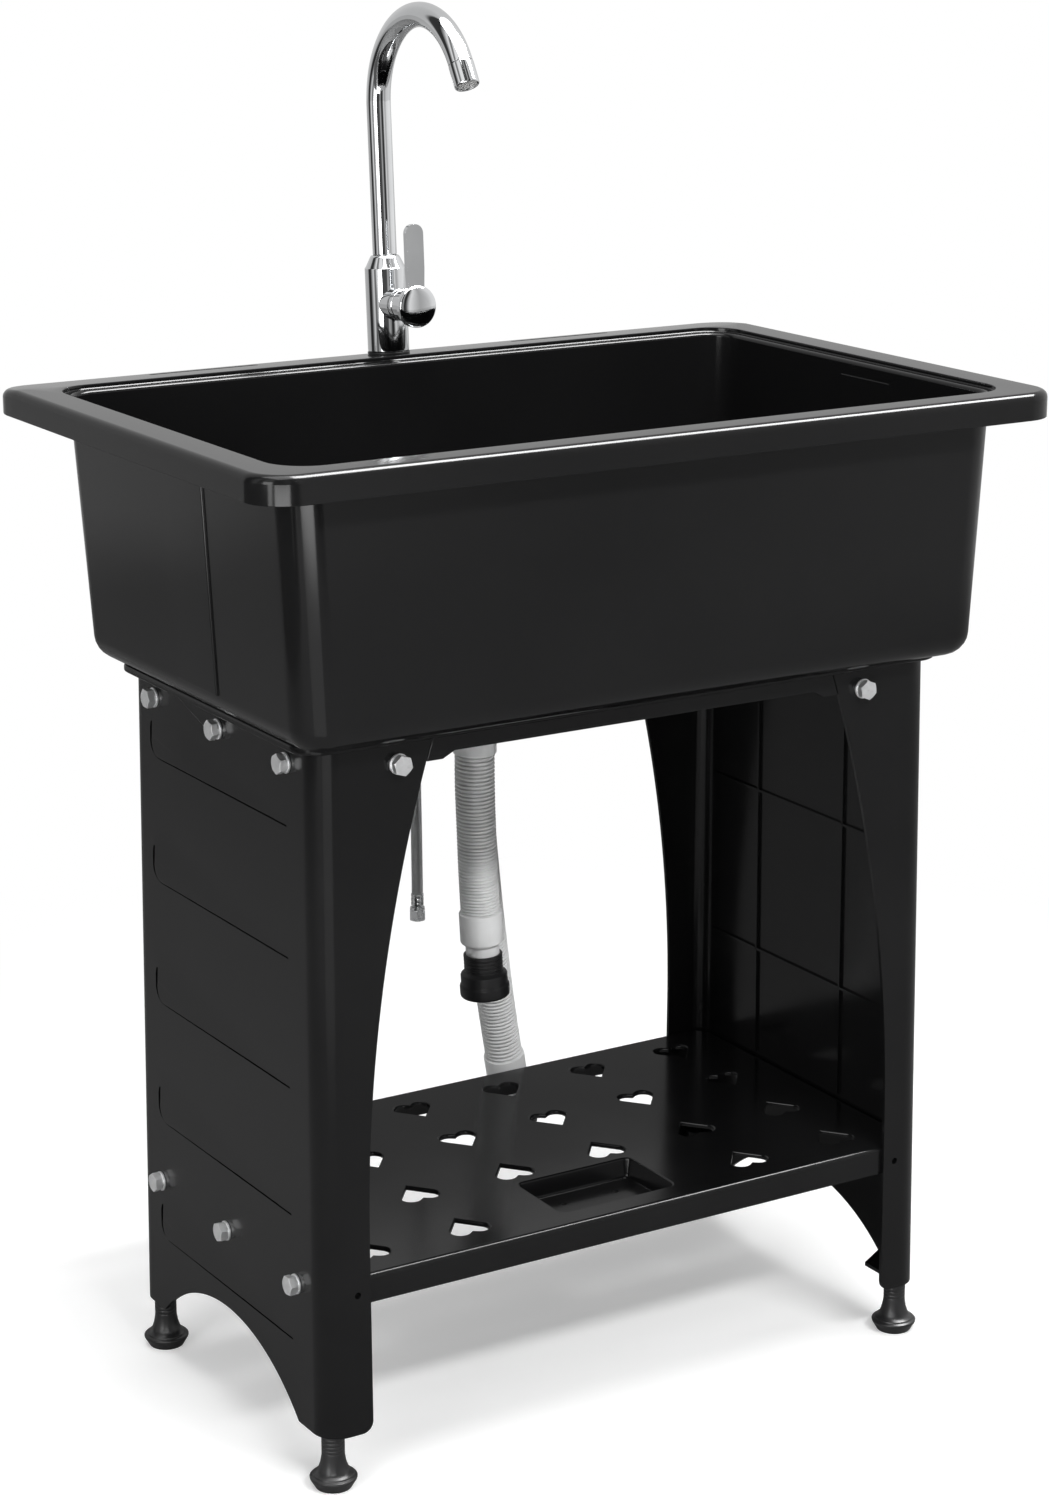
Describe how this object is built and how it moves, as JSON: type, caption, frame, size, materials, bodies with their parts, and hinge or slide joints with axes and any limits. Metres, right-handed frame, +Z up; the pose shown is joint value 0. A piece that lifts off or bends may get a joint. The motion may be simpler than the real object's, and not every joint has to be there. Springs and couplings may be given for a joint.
{
  "type": "utility laundry sink",
  "caption": "Freestanding laundry sink: deep rectangular tub on a bolted plastic stand with shelf, levelling feet, swivel gooseneck tap, strainer and ribbed drain hoses.",
  "frame": {"origin": "on the floor, under the middle of the sink measured without its hoses", "axes": "+X to the right along the front, +Y from front to back, +Z up"},
  "size_m": [0.6786, 0.459, 1.0592],
  "materials": {
    "tub_black": "glossy moulded black plastic",
    "stand_black": "satin moulded black plastic",
    "black_rubber": "matte black rubber",
    "white_plastic": "smooth white plastic",
    "hose_plastic": "soft pale grey polyethylene",
    "grey_plastic": "plain grey plastic",
    "tap_chrome": "polished chrome plate",
    "bolt_zinc": "bright zinc plate",
    "fitting_zinc": "nickel plate",
    "strainer_steel": "pressed stainless steel",
    "braided_steel": "braided stainless steel wire",
    "brass": "turned brass"
  },
  "bodies": {
    "stand": {"tub": "tub_black", "bolt_left_upper_front": "bolt_zinc", "bolt_left_lower_front": "bolt_zinc", "bolt_left_upper_middle": "bolt_zinc", "bolt_left_lower_middle": "bolt_zinc", "bolt_left_upper_rear": "bolt_zinc", "bolt_left_lower_rear": "bolt_zinc", "bolt_wing_front_left": "bolt_zinc", "bolt_wing_rear_left": "bolt_zinc", "bolt_right_upper_front": "bolt_zinc", "bolt_right_lower_front": "bolt_zinc", "bolt_right_upper_middle": "bolt_zinc", "bolt_right_lower_middle": "bolt_zinc", "bolt_right_upper_rear": "bolt_zinc", "bolt_right_lower_rear": "bolt_zinc", "bolt_wing_front_right": "bolt_zinc", "bolt_wing_rear_right": "bolt_zinc", "end_panel_left": "stand_black", "end_panel_right": "stand_black", "upper_frame": "stand_black", "shelf": "stand_black", "strainer_flange": "strainer_steel", "strainer_seal": "black_rubber", "strainer_nut": "white_plastic", "twin_outlet": "white_plastic", "front_hose_collar": "hose_plastic", "rear_hose_collar": "hose_plastic", "front_drain_hose": "hose_plastic", "front_hose_sleeve": "hose_plastic", "front_hose_adapter": "black_rubber", "rear_drain_hose": "hose_plastic", "rear_hose_sleeve": "hose_plastic", "rear_hose_adapter": "black_rubber", "supply_hose": "braided_steel", "supply_ferrule": "fitting_zinc", "supply_union": "fitting_zinc", "tap_base_ring": "black_rubber", "tap_body": "tap_chrome", "valve_cartridge": "grey_plastic", "valve_bonnet": "tap_chrome", "spout_bearing": "white_plastic", "tap_shank": "brass", "tap_washer": "black_rubber", "tap_nut": "fitting_zinc", "supply_tail": "fitting_zinc"},
    "basket": {"strainer_basket": "strainer_steel"},
    "spout_group": {"spout": "tap_chrome", "aerator_shell": "tap_chrome", "aerator_insert": "white_plastic"},
    "lever_group": {"lever": "tap_chrome", "valve_stem": "brass", "lever_set_screw": "fitting_zinc"},
    "levelling_foot_front_left": {"foot_front_left": "stand_black"},
    "levelling_foot_rear_left": {"foot_rear_left": "stand_black"},
    "levelling_foot_front_right": {"foot_front_right": "stand_black"},
    "levelling_foot_rear_right": {"foot_rear_right": "stand_black"}
  },
  "joints": [
    {"name": "spout_swivel", "type": "hinge", "parent": "stand", "child": "spout_group", "pos_m": [0, 0.20746, 0.778], "axis": [0, 0.0628, 0.998], "continuous": true},
    {"name": "lever_turn", "type": "hinge", "parent": "stand", "child": "lever_group", "pos_m": [0, 0.20999, 0.81822], "axis": [0, -0.998, 0.0628], "range_deg": [0, 90]},
    {"name": "basket_lift", "type": "slide", "parent": "stand", "child": "basket", "axis": [0, 0, 1], "range_m": [0, 0.06]},
    {"name": "foot_front_left_screw", "type": "slide", "parent": "stand", "child": "levelling_foot_front_left", "axis": [0, 0, -1], "range_m": [0, 0.012]},
    {"name": "foot_rear_left_screw", "type": "slide", "parent": "stand", "child": "levelling_foot_rear_left", "axis": [0, 0, -1], "range_m": [0, 0.012]},
    {"name": "foot_front_right_screw", "type": "slide", "parent": "stand", "child": "levelling_foot_front_right", "axis": [0, 0, -1], "range_m": [0, 0.012]},
    {"name": "foot_rear_right_screw", "type": "slide", "parent": "stand", "child": "levelling_foot_rear_right", "axis": [0, 0, -1], "range_m": [0, 0.012]}
  ]
}
